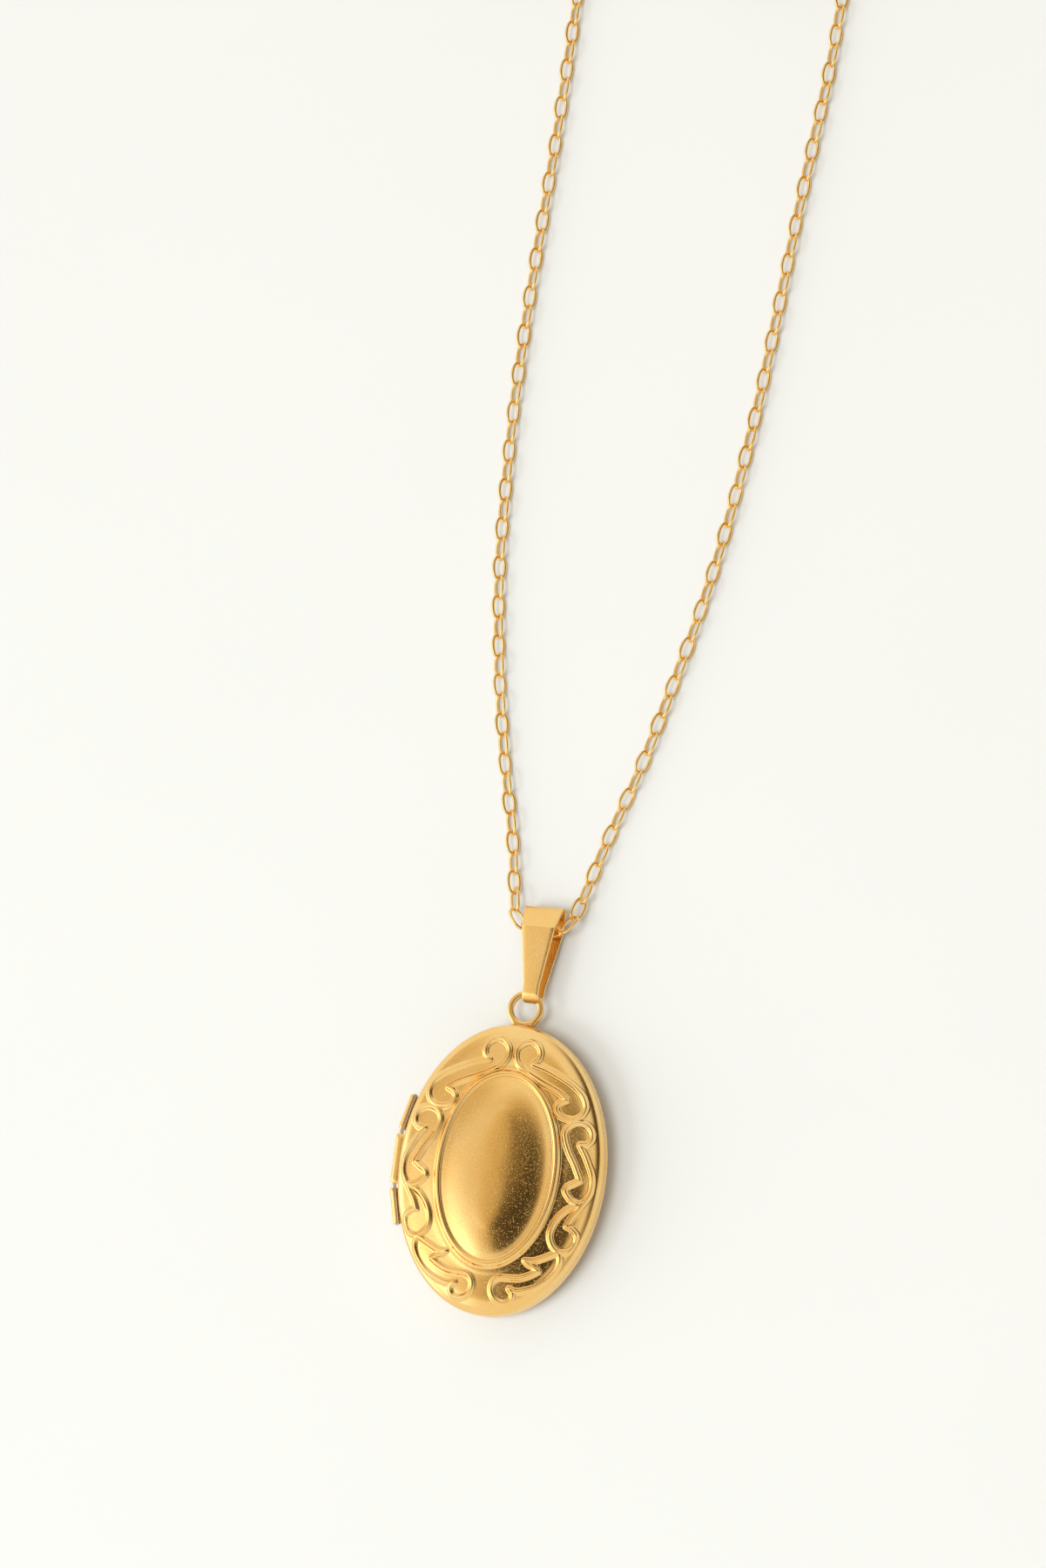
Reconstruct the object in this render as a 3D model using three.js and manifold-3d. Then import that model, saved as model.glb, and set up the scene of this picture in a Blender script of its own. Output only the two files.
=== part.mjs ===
// An oval locket on a fine cable chain, lying on its back. Millimetres, +Z up.
// The origin is the middle of the back cover's flat resting face. +Y runs along the locket
// to its bail, +X to the right, and the hinge is on the -X side.

import Module from "manifold-3d";
import * as THREE from "three";
import { mergeVertices } from "three/addons/utils/BufferGeometryUtils.js";

const wasm = await Module();
wasm.setup();

// Covers: two pressed oval shells that meet at PART_LINE.
const HALF_WIDTH = 9.6;
const HALF_LENGTH = 13.25;
const THICKNESS = 5.0;
const PART_LINE = 2.4;
const PART_GAP = 0.03;
const SHEET = 0.45;
const OVAL_SIDES = 48;
const REST_FACE = [5.6, 8.6];
const MEDALLION = [5.75, 8.9];

// What each cover holds: a picture card, a clear window and the frame that keeps them in.
const CARD_INSET = 1.65;
const WINDOW_INSET = 1.42;
const FRAME_INSET = 0.95;
const FRAME_OPENING_INSET = 1.95;

// Hinge: three barrels along the -X wall. The outer two lean in to follow the oval.
const BARREL_RADIUS = 0.4;
const BORE_RADIUS = 0.24;
const PIN_RADIUS = 0.2;
const HINGE_X = -(HALF_WIDTH + BARREL_RADIUS + 0.05);
const BARREL_MIDDLE_LENGTH = 4.5;
const BARREL_OUTER_LENGTH = 3.3;
const BEND_Y = 2.45;
const BARREL_GAP = 0.25;
const LEAN = THREE.MathUtils.degToRad(13.5);

// Eye: the flat ring on the back cover's end.
const EYE_Y = 14.85;
const EYE_Z = 2.04;
const EYE_OUTER = 1.7;
const EYE_INNER = 1.13;
const EYE_THICKNESS = 0.64;
const EYE_CHAMFER = 0.12;
const NECK_HALF_WIDTH = 1.0;

// Bail: a tapered ribbon folded into a loop. Its own frame starts where it holds the eye.
const BAIL_SHEET = 0.3;
const BAIL_EYE_RADIUS = 1.05;
const BAIL_TOP_RADIUS = 0.7;
const BAIL_TOP = 8.05;
const BAIL_CREASE = [6.0, 1.4];
const BAIL_HALF_WIDTHS = { end: 0.67, endAt: 0.6, crease: 1.42, top: 1.86 };
const BAIL_YAW = THREE.MathUtils.degToRad(-3.5);
const BAIL_PITCH = THREE.MathUtils.degToRad(-3.6);
const BAIL_ROLL = THREE.MathUtils.degToRad(-9);
const BAIL_PIVOT = [0, EYE_Y + (EYE_OUTER + EYE_INNER) / 2, EYE_Z];

// Chain: flat-sided oval cable links, drawn here as a plain tube of the links' width.
const CHAIN_WIDTH = 1.5;
const TUBE_SIDES = 8;
const FLOOR_Z = 0.03;
const COIL_RADIUS = 7.9;
const COIL_BAND = 2 * 1.6;
const COIL_HEIGHT = 2 * 1.55;
const COIL_LEFT = [-17.5, 123.2];
const COIL_RIGHT = [8.3, 123.2];
const BIGHT_ROUTE = [
  [-2.75, 25.0, 1.0],
  [-2.45, 23.75, 1.2],
  [-1.8, 22.8, 1.3],
  [-0.86, 22.41, 1.46],
  [0.37, 22.35, 1.65],
  [1.6, 22.29, 1.84],
  [2.55, 22.6, 1.9],
  [3.15, 23.5, 1.7],
  [3.5, 24.7, 1.35],
];
const LEFT_ROUTE = [
  [-2.85, 25.3, 0.98],
  [-3.9, 30.8, 0.79],
  [-5.5, 37.2, 0.79],
  [-6.9, 43.7, 0.79],
  [-8.0, 50.2, 0.79],
  [-8.8, 56.9, 0.79],
  [-9.2, 63.6, 0.79],
  [-9.45, 70.3, 0.79],
  [-9.5, 77.1, 0.79],
  [-9.4, 83.9, 0.79],
  [-9.2, 90.8, 0.79],
  [-9.0, 97.7, 0.79],
  [-8.9, 104.6, 0.79],
  [-8.85, 111.5, 0.79],
  [-8.8, 117.7, 0.79],
];
const RIGHT_ROUTE = [
  [3.6, 25.0, 1.25],
  [5.3, 31.6, 0.79],
  [7.4, 38.3, 0.79],
  [9.1, 45.0, 0.79],
  [10.7, 51.7, 0.79],
  [12.0, 58.4, 0.79],
  [13.0, 65.1, 0.79],
  [13.8, 71.8, 0.79],
  [14.4, 78.6, 0.79],
  [14.9, 85.3, 0.79],
  [15.4, 92.1, 0.79],
  [16.0, 98.9, 0.79],
  [16.6, 105.7, 0.79],
  [16.9, 112.6, 0.79],
  [17.0, 117.7, 0.79],
];
const TAIL_LEFT_ROUTE = [
  [-8.8, 129.3, 1.6],
  [-8.3, 131.9, 1.35],
  [-6.4, 134.4, 1.25],
  [-3.6, 135.4, 1.23],
];
const TAIL_RIGHT_ROUTE = [
  [17.0, 129.3, 1.5],
  [17.0, 131.2, 1.0],
  [16.9, 132.9, 0.79],
];
const BIGHT_STEPS = 18;
const STRAND_STEPS = 36;
const TAIL_STEPS = 4;

// Fittings at the chain's ends.
const JUMP_RING = { radius: 0.95, wire: 0.25 };
const END_RING = { radius: 1.65, wire: 0.35 };
const CLASP_THICKNESS = 2.2;
const CLASP_EYE = { outer: 1.15, inner: 0.6, thickness: 0.7 };
const CLAW = { middle: 5.6, halfLength: 3.6, halfWidth: 2.7, wall: 1.25 };
const LEVER = { x: 2.9, y: 1.2, root: 0.72, thickness: 1.1, tip: 7.25 };
const RIVET_RADIUS = 0.3;
const FIT = 0.06;

const gold = () => new THREE.MeshStandardMaterial({ color: 0xd6a558, roughness: 0.3, metalness: 1 });
const steel = () => new THREE.MeshStandardMaterial({ color: 0xb9babc, roughness: 0.35, metalness: 1 });
const clear = () => new THREE.MeshStandardMaterial({
  color: 0xeef2f2, roughness: 0.08, metalness: 0, transparent: true, opacity: 0.35,
});
const card = () => new THREE.MeshStandardMaterial({ color: 0xf2ede2, roughness: 0.9, metalness: 0 });

function addPart(parent, name, geometry, material) {
  const mesh = new THREE.Mesh(geometry, material);
  mesh.name = name;
  parent.add(mesh);
  return mesh;
}

// A closed solid for joining and cutting.
function toSolid(geometry) {
  const bare = geometry.clone();
  bare.deleteAttribute("normal");
  bare.deleteAttribute("uv");
  const merged = mergeVertices(bare);
  return new wasm.Manifold(new wasm.Mesh({
    numProp: 3,
    vertProperties: merged.attributes.position.array,
    triVerts: Uint32Array.from(merged.index.array),
  }));
}

function toGeometry(solid) {
  const mesh = solid.getMesh();
  const geometry = new THREE.BufferGeometry();
  geometry.setAttribute("position", new THREE.BufferAttribute(mesh.vertProperties, mesh.numProp));
  geometry.setIndex(new THREE.BufferAttribute(mesh.triVerts, 1));
  geometry.computeVertexNormals();
  return geometry;
}

// The oval that lies a given distance inside the covers' outline, at a height.
const rim = (inset, height) => [HALF_WIDTH - inset, HALF_LENGTH - inset, height];
const centre = (height) => [0, 0, height];

// Stacked ovals, each [half width, half length, height], joined into one skin. The list
// starts and ends on the axis, or closes on itself, and runs upward on the outside.
function ovalSolid(rows) {
  const profile = rows.map(([halfWidth, , height]) => new THREE.Vector2(halfWidth, height));
  const geometry = new THREE.LatheGeometry(profile, OVAL_SIDES);
  geometry.rotateX(Math.PI / 2);
  const position = geometry.attributes.position;
  for (let i = 0; i < position.count; i += 1) {
    const [halfWidth, halfLength] = rows[i % rows.length];
    if (halfWidth > 0) position.setY(i, (position.getY(i) * halfLength) / halfWidth);
  }
  return geometry;
}

function ovalPlate(inset, low, high) {
  return ovalSolid([centre(low), rim(inset, low), rim(inset, high), centre(high)]);
}

function backCover() {
  const edge = PART_LINE - PART_GAP;
  return ovalSolid([
    centre(0),
    [...REST_FACE, 0],
    rim(2.0, 0.25),
    rim(0.8, 0.75),
    rim(0.2, 1.35),
    rim(0, 1.95),
    rim(0, edge),
    rim(SHEET, edge),
    rim(SHEET, 1.85),
    rim(0.75, 1.45),
    rim(1.3, 1.1),
    rim(2.3, 0.72),
    [REST_FACE[0] - 0.2, REST_FACE[1] - 0.2, SHEET],
    centre(SHEET),
  ]);
}

function frontCover() {
  const edge = PART_LINE + PART_GAP;
  const [ringWidth, ringLength] = MEDALLION;
  const ring = (inset, height) => [ringWidth - inset, ringLength - inset, height];
  return ovalSolid([
    centre(THICKNESS - 0.6),
    ring(0.6, 4.2),
    rim(1.7, 3.95),
    rim(0.8, 3.55),
    rim(SHEET, 3.05),
    rim(SHEET, edge),
    rim(0, edge),
    rim(0, 3.0),
    rim(0.12, 3.5),
    rim(0.5, 3.95),
    rim(1.2, 4.22),
    ring(-0.5, 4.5),
    ring(0, 4.58),
    ring(0.15, 4.75),
    ring(0.4, 4.75),
    ring(0.6, 4.52),
    ring(1.15, 4.68),
    ring(2.6, 4.88),
    ring(4.2, 4.97),
    centre(THICKNESS),
  ]);
}

// The thin band that the front cover snaps into the back cover with, and its catch bead.
function snapRim() {
  const low = 1.93;
  const high = 3.1;
  const band = ovalSolid([
    rim(0.85, low),
    rim(0.55, low),
    rim(0.55, high),
    rim(0.85, high),
    rim(0.85, low),
  ]);
  const bead = new THREE.SphereGeometry(1, 10, 6);
  bead.scale(0.2, 0.8, 0.16);
  bead.translate(HALF_WIDTH - 0.7, 0, 2.14);
  return toGeometry(toSolid(band).add(toSolid(bead)));
}

// A retaining ring: a lip over the window's edge, and a band beside it. Facing is +1 where
// the lip is the top of the ring and -1 where it is the bottom.
function photoFrame(outerLip, facing) {
  const lip = outerLip - 0.25 * facing;
  const foot = outerLip - 0.4 * facing;
  const section = [
    rim(WINDOW_INSET - 0.07, foot),
    rim(FRAME_INSET, foot),
    rim(FRAME_INSET, outerLip),
    rim(FRAME_OPENING_INSET, outerLip),
    rim(FRAME_OPENING_INSET, lip),
    rim(WINDOW_INSET - 0.07, lip),
    rim(WINDOW_INSET - 0.07, foot),
  ];
  return ovalSolid(facing > 0 ? section : section.reverse());
}

function barrel(length) {
  const half = length / 2;
  return new THREE.LatheGeometry([
    new THREE.Vector2(BORE_RADIUS, -half),
    new THREE.Vector2(BARREL_RADIUS, -half),
    new THREE.Vector2(BARREL_RADIUS, half),
    new THREE.Vector2(BORE_RADIUS, half),
    new THREE.Vector2(BORE_RADIUS, -half),
  ], 14);
}

// The middle of an outer barrel; side is +1 above the middle barrel and -1 below it.
function outerBarrelCentre(side) {
  const along = BARREL_GAP + BARREL_OUTER_LENGTH / 2;
  return new THREE.Vector3(
    HINGE_X + along * Math.sin(LEAN),
    side * (BEND_Y + along * Math.cos(LEAN)),
    PART_LINE,
  );
}

// A straight pin through the middle barrel, with both ends bent to follow the outer barrels.
function hingePin() {
  const middle = new THREE.CylinderGeometry(PIN_RADIUS, PIN_RADIUS, 2 * BEND_Y + 0.04, 10);
  middle.translate(HINGE_X, 0, PART_LINE);
  const length = BARREL_GAP + BARREL_OUTER_LENGTH + 0.15;
  let pin = toSolid(middle);
  for (const side of [1, -1]) {
    const end = new THREE.CylinderGeometry(PIN_RADIUS, PIN_RADIUS, length, 10);
    end.translate(0, (side * length) / 2, 0);
    end.rotateZ(-side * LEAN);
    end.translate(HINGE_X, side * BEND_Y, PART_LINE);
    pin = pin.add(toSolid(end));
  }
  return toGeometry(pin);
}

// A flat ring on a short neck that narrows to the covers' wall.
function bailEye() {
  const foot = HALF_LENGTH + 0.07;
  const start = THREE.MathUtils.degToRad(-42);
  const outline = new THREE.Shape();
  outline.moveTo(NECK_HALF_WIDTH, foot);
  outline.lineTo(EYE_OUTER * Math.cos(start), EYE_Y + EYE_OUTER * Math.sin(start));
  outline.absarc(0, EYE_Y, EYE_OUTER, start, Math.PI - start, false);
  outline.lineTo(-NECK_HALF_WIDTH, foot);
  outline.closePath();
  const hole = new THREE.Path();
  hole.absarc(0, EYE_Y, EYE_INNER, 0, 2 * Math.PI, true);
  outline.holes.push(hole);
  const geometry = new THREE.ExtrudeGeometry(outline, {
    depth: EYE_THICKNESS - 2 * EYE_CHAMFER,
    bevelThickness: EYE_CHAMFER,
    bevelSize: EYE_CHAMFER,
    bevelOffset: -EYE_CHAMFER,
    bevelSegments: 1,
    curveSegments: 20,
  });
  geometry.translate(0, 0, EYE_Z - EYE_THICKNESS / 2 + EYE_CHAMFER);
  return geometry;
}

// The direction in which a line leaves a circle to pass a point, as the angle of its normal.
function tangentAngle(centreAt, radius, point) {
  const run = point[0] - centreAt;
  const away = Math.hypot(run, point[1]);
  const turn = Math.acos(radius / away);
  return Math.atan2(point[1], run) + (run > 0 ? turn : -turn);
}

// One side of the folded ribbon as a closed path of (along, depth), inset from its outside.
function bailOutline(path, inset) {
  const topAt = BAIL_TOP - BAIL_TOP_RADIUS;
  const leaf = tangentAngle(0, BAIL_EYE_RADIUS, BAIL_CREASE);
  const facet = tangentAngle(topAt, BAIL_TOP_RADIUS, BAIL_CREASE);
  const leafReach = BAIL_EYE_RADIUS - inset;
  const facetReach = BAIL_TOP_RADIUS - inset + topAt * Math.cos(facet);
  const across = Math.sin(facet - leaf);
  const along = (leafReach * Math.sin(facet) - facetReach * Math.sin(leaf)) / across;
  const depth = (facetReach * Math.cos(leaf) - leafReach * Math.cos(facet)) / across;
  path.absarc(0, 0, BAIL_EYE_RADIUS - inset, leaf, 2 * Math.PI - leaf, false);
  path.lineTo(along, -depth);
  path.absarc(topAt, 0, BAIL_TOP_RADIUS - inset, -facet, facet, false);
  path.lineTo(along, depth);
  path.closePath();
  return path;
}

function bailHalfWidth(along) {
  const { end, endAt, crease, top } = BAIL_HALF_WIDTHS;
  if (along < endAt) return end;
  if (along < BAIL_CREASE[0]) {
    return THREE.MathUtils.mapLinear(along, endAt, BAIL_CREASE[0], end, crease);
  }
  return THREE.MathUtils.mapLinear(along, BAIL_CREASE[0], BAIL_TOP, crease, top);
}

function bail() {
  const outline = bailOutline(new THREE.Shape(), 0);
  outline.holes.push(bailOutline(new THREE.Path(), BAIL_SHEET));
  const geometry = new THREE.ExtrudeGeometry(outline, {
    depth: 2,
    bevelEnabled: false,
    curveSegments: 8,
  });
  geometry.translate(0, 0, -1);
  geometry.applyMatrix4(new THREE.Matrix4().makeBasis(
    new THREE.Vector3(0, 1, 0),
    new THREE.Vector3(0, 0, 1),
    new THREE.Vector3(1, 0, 0),
  ));
  const position = geometry.attributes.position;
  for (let i = 0; i < position.count; i += 1) {
    position.setX(i, position.getX(i) * bailHalfWidth(position.getY(i)));
  }
  return geometry;
}

function chainTube(points, steps) {
  const route = new THREE.CatmullRomCurve3(points.map((point) => new THREE.Vector3(...point)));
  const section = new THREE.Shape();
  for (let i = 0; i < TUBE_SIDES; i += 1) {
    const angle = (2 * Math.PI * (i + 0.5)) / TUBE_SIDES;
    const x = (CHAIN_WIDTH / 2) * Math.cos(angle);
    const y = (CHAIN_WIDTH / 2) * Math.sin(angle);
    if (i === 0) section.moveTo(x, y);
    else section.lineTo(x, y);
  }
  section.closePath();
  return new THREE.ExtrudeGeometry(section, { steps, extrudePath: route, bevelEnabled: false });
}

// The outer shape of chain wound two turns wide and two turns high.
function chainCoil() {
  const inner = COIL_RADIUS - COIL_BAND / 2;
  const outer = COIL_RADIUS + COIL_BAND / 2;
  const geometry = new THREE.LatheGeometry([
    new THREE.Vector2(inner, 0),
    new THREE.Vector2(outer, 0),
    new THREE.Vector2(outer, COIL_HEIGHT),
    new THREE.Vector2(inner, COIL_HEIGHT),
    new THREE.Vector2(inner, 0),
  ], 32);
  geometry.rotateX(Math.PI / 2);
  return geometry;
}

const wireRing = ({ radius, wire }) => new THREE.TorusGeometry(radius, wire, 8, 24);

// A post along Z, from low to high, as a solid.
function post(x, y, radius, low, high, sides = 20) {
  const geometry = new THREE.CylinderGeometry(radius, radius, high - low, sides);
  geometry.rotateX(Math.PI / 2);
  geometry.translate(x, y, (low + high) / 2);
  return toSolid(geometry);
}

function block(xs, ys, zs) {
  const geometry = new THREE.BoxGeometry(xs[1] - xs[0], ys[1] - ys[0], zs[1] - zs[0]);
  geometry.translate((xs[0] + xs[1]) / 2, (ys[0] + ys[1]) / 2, (zs[0] + zs[1]) / 2);
  return toSolid(geometry);
}

// A flat oval slab about z = 0, centred on the claw.
function clawSlab(inset, thickness) {
  const geometry = new THREE.CylinderGeometry(1, 1, thickness, 36);
  geometry.rotateX(Math.PI / 2);
  geometry.scale(CLAW.halfLength - inset, CLAW.halfWidth - inset, 1);
  geometry.translate(CLAW.middle, 0, 0);
  return toSolid(geometry);
}

// The clasp's hook and eye, about z = 0, with the eye on the origin and the hook along +X.
function claspBody() {
  const half = CLASP_THICKNESS / 2;
  const eyeHalf = CLASP_EYE.thickness / 2;
  const slotHalf = LEVER.thickness / 2 + FIT;
  const mouth = block([LEVER.x + 0.2, LEVER.tip + 0.05], [0, 4], [-2, 2]);
  const slot = block([LEVER.x - 0.95, LEVER.x + 1.4], [0.3, 4], [-slotHalf, slotHalf]);
  const body = post(0, 0, CLASP_EYE.outer, -eyeHalf, eyeHalf)
    .add(block([0.8, 2.6], [-0.55, 0.55], [-eyeHalf, eyeHalf]))
    .add(clawSlab(0, CLASP_THICKNESS))
    .subtract(clawSlab(CLAW.wall, CLASP_THICKNESS + 1))
    .subtract(mouth)
    .add(post(LEVER.x, LEVER.y, LEVER.root + 0.1, -half, half))
    .subtract(slot)
    .subtract(post(LEVER.x, LEVER.y, RIVET_RADIUS + FIT, -2, 2, 12))
    .subtract(post(0, 0, CLASP_EYE.inner, -2, 2));
  return toGeometry(body);
}

// The sprung gate: a bored root, an arm that closes on the hook's tip, and a thumb nub.
function claspLever() {
  const half = LEVER.thickness / 2;
  const outline = new THREE.Shape();
  outline.moveTo(0, -0.35);
  outline.quadraticCurveTo(2.4, 0.15, LEVER.tip - LEVER.x - 0.1, -0.15);
  outline.lineTo(LEVER.tip - LEVER.x - 0.1, 0.55);
  outline.quadraticCurveTo(2.2, 1.0, 0.3, 0.65);
  outline.lineTo(0.15, 1.75);
  outline.lineTo(-0.45, 1.75);
  outline.lineTo(-0.5, 0.2);
  outline.closePath();
  const arm = new THREE.ExtrudeGeometry(outline, { depth: 2 * half, bevelEnabled: false });
  arm.translate(LEVER.x, LEVER.y, -half);
  const lever = toSolid(arm)
    .add(post(LEVER.x, LEVER.y, LEVER.root - 0.1, -half, half))
    .subtract(post(LEVER.x, LEVER.y, RIVET_RADIUS + FIT, -2, 2, 12));
  return toGeometry(lever);
}

function claspRivet() {
  const geometry = new THREE.CylinderGeometry(RIVET_RADIUS, RIVET_RADIUS, CLASP_THICKNESS, 12);
  geometry.rotateX(Math.PI / 2);
  geometry.translate(LEVER.x, LEVER.y, 0);
  return geometry;
}

// A short leaf that pushes the lever shut, held in the slot beside the rivet.
function claspSpring() {
  const leaf = new THREE.BoxGeometry(0.16, 0.9, LEVER.thickness - 0.3);
  leaf.translate(LEVER.x - 0.8, 1.05, 0);
  return leaf;
}

function locket() {
  const group = new THREE.Group();
  addPart(group, "back_cover", backCover(), gold());
  addPart(group, "back_photo_card", ovalPlate(CARD_INSET, 1.14, 1.34), card());
  addPart(group, "back_photo_window", ovalPlate(WINDOW_INSET, 1.4, 1.56), clear());
  addPart(group, "back_photo_frame", photoFrame(1.87, 1), gold());
  addPart(group, "bail_eye", bailEye(), gold());
  addPart(group, "hinge_pin", hingePin(), steel());
  for (const [name, side] of [["hinge_knuckle_upper", 1], ["hinge_knuckle_lower", -1]]) {
    const knuckle = addPart(group, name, barrel(BARREL_OUTER_LENGTH), gold());
    knuckle.position.copy(outerBarrelCentre(side));
    knuckle.rotation.z = -side * LEAN;
  }
  addPart(group, "front_cover", frontCover(), gold());
  addPart(group, "front_photo_card", ovalPlate(CARD_INSET, 3.62, 3.82), card());
  addPart(group, "front_photo_window", ovalPlate(WINDOW_INSET, 3.43, 3.58), clear());
  addPart(group, "front_photo_frame", photoFrame(3.15, -1), gold());
  addPart(group, "snap_rim", snapRim(), gold());
  const middle = addPart(group, "hinge_knuckle_middle", barrel(BARREL_MIDDLE_LENGTH), gold());
  middle.position.set(HINGE_X, 0, PART_LINE);
  return group;
}

function foldedBail() {
  const group = new THREE.Group();
  group.position.set(...BAIL_PIVOT);
  group.rotation.set(BAIL_PITCH, BAIL_ROLL, BAIL_YAW, "ZXY");
  addPart(group, "bail", bail(), gold());
  return group;
}

function chain() {
  const group = new THREE.Group();
  addPart(group, "chain_bight", chainTube(BIGHT_ROUTE, BIGHT_STEPS), gold());
  addPart(group, "chain_left", chainTube(LEFT_ROUTE, STRAND_STEPS), gold());
  addPart(group, "chain_right", chainTube(RIGHT_ROUTE, STRAND_STEPS), gold());
  addPart(group, "chain_tail_left", chainTube(TAIL_LEFT_ROUTE, TAIL_STEPS), gold());
  addPart(group, "chain_tail_right", chainTube(TAIL_RIGHT_ROUTE, TAIL_STEPS), gold());
  addPart(group, "chain_coil_left", chainCoil(), gold()).position.set(...COIL_LEFT, FLOOR_Z);
  addPart(group, "chain_coil_right", chainCoil(), gold()).position.set(...COIL_RIGHT, FLOOR_Z);
  return group;
}

// The jump ring and the clasp on it, pointing along +X from the left strand's end.
function clasp() {
  const [endX, endY] = TAIL_LEFT_ROUTE.at(-1);
  const ringX = endX + 0.3 + JUMP_RING.radius + JUMP_RING.wire;
  const group = new THREE.Group();
  const ring = addPart(group, "clasp_jump_ring", wireRing(JUMP_RING), gold());
  ring.rotation.x = Math.PI / 2;
  ring.position.set(ringX, endY, JUMP_RING.radius + JUMP_RING.wire + FLOOR_Z);
  const hook = new THREE.Group();
  const bar = (CLASP_EYE.outer + CLASP_EYE.inner) / 2;
  hook.position.set(ringX + bar, endY, CLASP_THICKNESS / 2 + FLOOR_Z);
  addPart(hook, "clasp_body", claspBody(), gold());
  addPart(hook, "clasp_lever", claspLever(), gold());
  addPart(hook, "clasp_rivet", claspRivet(), steel());
  addPart(hook, "clasp_spring", claspSpring(), steel());
  group.add(hook);
  return group;
}

function endRing() {
  const [endX, endY] = TAIL_RIGHT_ROUTE.at(-1);
  const group = new THREE.Group();
  const ring = addPart(group, "end_ring", wireRing(END_RING), gold());
  ring.position.set(endX, endY + 0.3 + END_RING.radius + END_RING.wire, END_RING.wire + FLOOR_Z);
  return group;
}

const necklace = new THREE.Group();
necklace.add(locket(), foldedBail(), chain(), clasp(), endRing());

export default necklace;
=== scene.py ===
"""A gold-plated oval locket on a fine cable chain, lying on its back on a pale table.

Shapes are worked out in millimetres, in the CAD frame: +Y runs along the locket to its bail,
+Z is up, and the hinge is on the -X side. They become metres when a mesh is made.
"""
import math

import bpy
import numpy as np
from mathutils import Matrix, Vector


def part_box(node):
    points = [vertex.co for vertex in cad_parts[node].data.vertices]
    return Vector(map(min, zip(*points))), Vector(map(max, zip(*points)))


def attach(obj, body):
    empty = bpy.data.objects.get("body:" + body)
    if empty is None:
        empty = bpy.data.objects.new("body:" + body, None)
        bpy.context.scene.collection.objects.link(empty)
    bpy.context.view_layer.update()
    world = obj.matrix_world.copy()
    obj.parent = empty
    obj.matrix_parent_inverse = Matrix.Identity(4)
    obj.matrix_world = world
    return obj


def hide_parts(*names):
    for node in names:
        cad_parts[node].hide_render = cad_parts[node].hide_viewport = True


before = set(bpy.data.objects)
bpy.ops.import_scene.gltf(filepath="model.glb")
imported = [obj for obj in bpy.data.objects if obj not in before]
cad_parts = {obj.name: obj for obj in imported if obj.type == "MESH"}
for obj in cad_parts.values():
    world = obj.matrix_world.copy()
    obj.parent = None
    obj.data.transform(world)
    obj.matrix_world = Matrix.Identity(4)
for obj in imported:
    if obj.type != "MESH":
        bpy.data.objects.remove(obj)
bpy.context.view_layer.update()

MM = 0.001

# Covers, as in the CAD source.
HALF_WIDTH = 9.6
HALF_LENGTH = 13.25
PART_LINE = 2.4
PART_GAP = 0.03
SHEET = 0.45
REST_FACE = (5.6, 8.6)
MEDALLION = (5.75, 8.9)
TOP = 5.0

# Hinge.
BARREL_RADIUS = 0.4
BARREL_SHEET = 0.15
PIN_RADIUS = 0.2
HINGE_X = -(HALF_WIDTH + BARREL_RADIUS + 0.05)
BARREL_MIDDLE_LENGTH = 4.5
BARREL_OUTER_LENGTH = 3.3
BEND_Y = 2.45
BARREL_GAP = 0.25
LEAN = math.radians(13.5)

# Eye and bail.
EYE_CENTRE = (0.0, 14.85, 2.04)
EYE_OUTER = 1.7
EYE_INNER = 1.13
EYE_THICKNESS = 0.64
BAIL_PIVOT = (0.5, EYE_CENTRE[1] + (EYE_OUTER + EYE_INNER) / 2 + 0.08, EYE_CENTRE[2])
BAIL_SHEET = 0.3
BAIL_EYE_RADIUS = 0.92
BAIL_TOP_RADIUS = 0.7
BAIL_TOP = 8.12
BAIL_CREASE = (6.0, 1.4)
LEAF_STEPS = 24
FACET_STEPS = 12
BAIL_TURNS = {"yaw": 0.2, "pitch": -3.6, "roll": -4.0}

# Chain: flat-sided oval cable links. The route's points are the CAD source's.
LINK_LENGTH = 2.45
LINK_WIDTH = 1.5
WIRE_WIDTH = 0.30
WIRE_DEPTH = 0.26
LINK_PITCH = LINK_LENGTH - 2 * WIRE_WIDTH + 0.02
LAID_Z = 0.79
LIE_LOWER = 0.11
BIGHT_ROUTE = [
    (-2.75, 25.0, 1.0), (-2.45, 23.75, 1.2), (-1.8, 22.8, 1.3), (-0.86, 22.41, 1.46),
    (0.37, 22.35, 1.65),
    (1.6, 22.29, 1.84), (2.55, 22.6, 1.9), (3.15, 23.5, 1.7), (3.5, 24.7, 1.35),
]
LEFT_ROUTE = [
    (-2.85, 25.3, 0.98), (-3.9, 30.8, LAID_Z), (-5.5, 37.2, LAID_Z), (-6.9, 43.7, LAID_Z),
    (-8.0, 50.2, LAID_Z), (-8.8, 56.9, LAID_Z), (-9.2, 63.6, LAID_Z), (-9.45, 70.3, LAID_Z),
    (-9.5, 77.1, LAID_Z), (-9.4, 83.9, LAID_Z), (-9.2, 90.8, LAID_Z), (-9.0, 97.7, LAID_Z),
    (-8.9, 104.6, LAID_Z), (-8.85, 111.5, LAID_Z), (-8.8, 117.7, LAID_Z),
]
RIGHT_ROUTE = [
    (3.6, 25.0, 1.25), (5.3, 31.6, LAID_Z), (7.4, 38.3, LAID_Z), (9.1, 45.0, LAID_Z),
    (10.7, 51.7, LAID_Z), (12.0, 58.4, LAID_Z), (13.0, 65.1, LAID_Z), (13.8, 71.8, LAID_Z),
    (14.4, 78.6, LAID_Z), (14.9, 85.3, LAID_Z), (15.4, 92.1, LAID_Z), (16.0, 98.9, LAID_Z),
    (16.6, 105.7, LAID_Z), (16.9, 112.6, LAID_Z), (17.0, 117.7, LAID_Z),
]
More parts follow.
